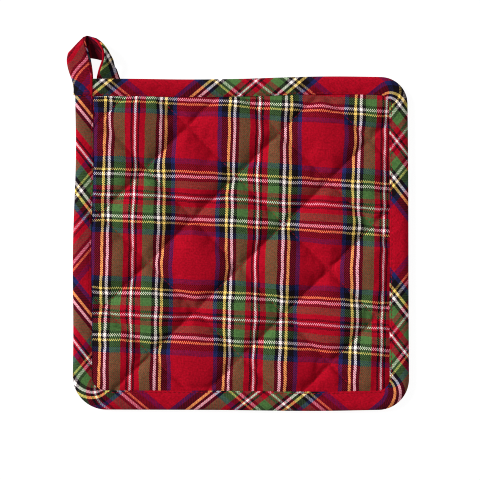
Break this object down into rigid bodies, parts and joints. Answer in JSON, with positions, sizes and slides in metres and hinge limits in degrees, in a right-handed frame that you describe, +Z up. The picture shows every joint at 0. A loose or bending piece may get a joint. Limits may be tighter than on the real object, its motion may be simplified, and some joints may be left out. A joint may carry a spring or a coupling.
{
  "type": "pot holder",
  "caption": "Square quilted pot holder with rounded corners, a folded bias binding round its rim and a hanging loop at one corner.",
  "frame": {"origin": "middle of the pad on its back face, on the surface that the part lies on", "axes": "+X to the right across the face, +Y towards the hanging loop's end, +Z up out of the face"},
  "size_m": [0.2049, 0.2251, 0.0107],
  "materials": {
    "panel_cloth": "cotton twill in a red check, matt with a soft sheen",
    "binding_cloth": "the same twill cut on the bias and pressed",
    "loop_cloth": "the same bias strip, folded and stitched"
  },
  "bodies": {
    "root": {"quilted_pad": "panel_cloth", "binding": "binding_cloth", "hanging_loop": "loop_cloth"}
  },
  "joints": []
}
